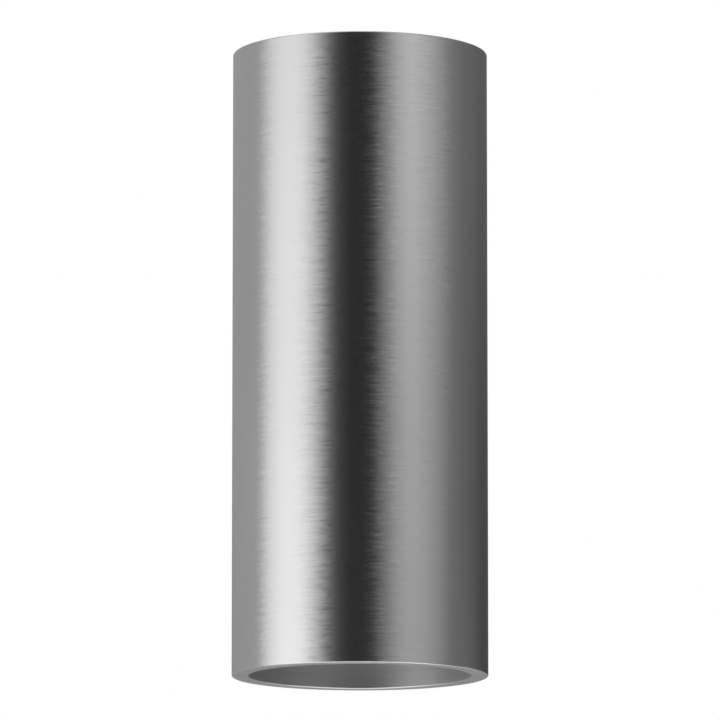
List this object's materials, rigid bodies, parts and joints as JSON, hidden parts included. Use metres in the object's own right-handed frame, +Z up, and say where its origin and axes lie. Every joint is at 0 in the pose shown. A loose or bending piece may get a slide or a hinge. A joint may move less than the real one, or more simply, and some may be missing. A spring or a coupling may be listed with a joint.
{
  "type": "tube wall light",
  "caption": "Up-and-down wall light: a thick brushed tube open at both ends, on a saddle and a shallow wall box, with a twist-lock reflector lamp behind glass in each end.",
  "frame": {"origin": "on the wall plane, at the centre of the two wall screws", "axes": "+Z up along the tube, +Y into the wall, -Y out into the room, +X to the right seen from the room"},
  "size_m": [0.065, 0.1, 0.16],
  "materials": {
    "tube_steel": "thick stainless tube, brushed round its girth",
    "box_steel": "satin stainless sheet",
    "saddle_aluminium": "fine bead-blasted casting",
    "seal_silicone": "matt black silicone sheet",
    "gasket_silicone": "translucent grey silicone",
    "bush_rubber": "matt black rubber",
    "bracket_zinc": "bright zinc plated sheet",
    "stainless_screw": "stainless, plain",
    "zinc_screw": "bright zinc plated",
    "block_nylon": "natural nylon",
    "brass_plain": "plain turned brass",
    "tinned_copper": "tin plated copper",
    "wire_brown": "brown silicone sleeve",
    "wire_blue": "blue silicone sleeve",
    "wire_green_yellow": "green and yellow sleeve",
    "steatite": "unglazed white lampholder ceramic",
    "ring_stainless": "turned stainless ring",
    "ring_aluminium": "turned, clear anodised",
    "clear_glass": "clear toughened glass",
    "lamp_lens": "moulded diffusing lens",
    "lamp_body": "satin white powder coat",
    "lamp_base": "white moulded base",
    "lamp_pin": "nickel plated pins",
    "led_board": "white board with yellow emitters"
  },
  "bodies": {
    "fixture": {"tube": "tube_steel", "wall_box": "box_steel", "saddle": "saddle_aluminium", "saddle_seal_front": "seal_silicone", "saddle_seal_rear": "seal_silicone", "wall_seal": "seal_silicone", "wall_bracket": "bracket_zinc", "bracket_nuts": "zinc_screw", "side_screws": "stainless_screw", "body_screws": "stainless_screw", "body_washers": "stainless_screw", "shelf_nuts": "zinc_screw", "wire_bush": "bush_rubber", "cable_bush": "bush_rubber", "terminal_block": "block_nylon", "terminal_clamps": "brass_plain", "terminal_screws": "zinc_screw", "block_standoffs": "zinc_screw", "block_screws": "zinc_screw", "earth_stud": "brass_plain", "earth_washer": "brass_plain", "earth_lug": "tinned_copper", "earth_nut": "brass_plain", "earth_wire": "wire_green_yellow", "live_wire_lower": "wire_brown", "neutral_wire_lower": "wire_blue", "shelf_lower": "bracket_zinc", "holder_lower": "steatite", "holder_contacts_lower": "tinned_copper", "holder_screws_lower": "zinc_screw", "holder_nuts_lower": "zinc_screw", "seat_ring_lower": "ring_aluminium", "live_wire_upper": "wire_brown", "neutral_wire_upper": "wire_blue", "shelf_upper": "bracket_zinc", "holder_upper": "steatite", "holder_contacts_upper": "tinned_copper", "holder_screws_upper": "zinc_screw", "holder_nuts_upper": "zinc_screw", "seat_ring_upper": "ring_aluminium"},
    "lower_glass_pack": {"glass_lower": "clear_glass", "glass_gasket_lower": "gasket_silicone"},
    "lower_ring": {"retaining_ring_lower": "ring_stainless"},
    "lower_lamp": {"lamp_shell_lower": "lamp_body", "lamp_lens_lower": "lamp_lens", "lamp_led_board_lower": "led_board", "lamp_base_lower": "lamp_base", "lamp_pins_lower": "lamp_pin"},
    "upper_glass_pack": {"glass_upper": "clear_glass", "glass_gasket_upper": "gasket_silicone"},
    "upper_ring": {"retaining_ring_upper": "ring_stainless"},
    "upper_lamp": {"lamp_shell_upper": "lamp_body", "lamp_lens_upper": "lamp_lens", "lamp_led_board_upper": "led_board", "lamp_base_upper": "lamp_base", "lamp_pins_upper": "lamp_pin"}
  },
  "joints": [
    {"name": "lower_ring_travel", "type": "slide", "parent": "fixture", "child": "lower_glass_pack", "axis": [0, 0, -1], "range_m": [0, 0.003]},
    {"name": "lower_ring_turn", "type": "hinge", "parent": "lower_glass_pack", "child": "lower_ring", "pos_m": [0, -0.0675, -0.073], "axis": [0, 0, -1], "range_deg": [0, 720]},
    {"name": "lower_lamp_twist", "type": "hinge", "parent": "fixture", "child": "lower_lamp", "pos_m": [0, -0.0675, -0.0646], "axis": [0, 0, -1], "range_deg": [0, 20]},
    {"name": "upper_ring_travel", "type": "slide", "parent": "fixture", "child": "upper_glass_pack", "axis": [0, 0, 1], "range_m": [0, 0.003]},
    {"name": "upper_ring_turn", "type": "hinge", "parent": "upper_glass_pack", "child": "upper_ring", "pos_m": [0, -0.0675, 0.073], "axis": [0, 0, 1], "range_deg": [0, 720]},
    {"name": "upper_lamp_twist", "type": "hinge", "parent": "fixture", "child": "upper_lamp", "pos_m": [0, -0.0675, 0.0646], "axis": [0, 0, 1], "range_deg": [0, 20]}
  ],
  "couplings": [
    {"joint": "lower_ring_travel", "follows": "lower_ring_turn", "m_per_rad": 0.00023873},
    {"joint": "upper_ring_travel", "follows": "upper_ring_turn", "m_per_rad": 0.00023873}
  ]
}
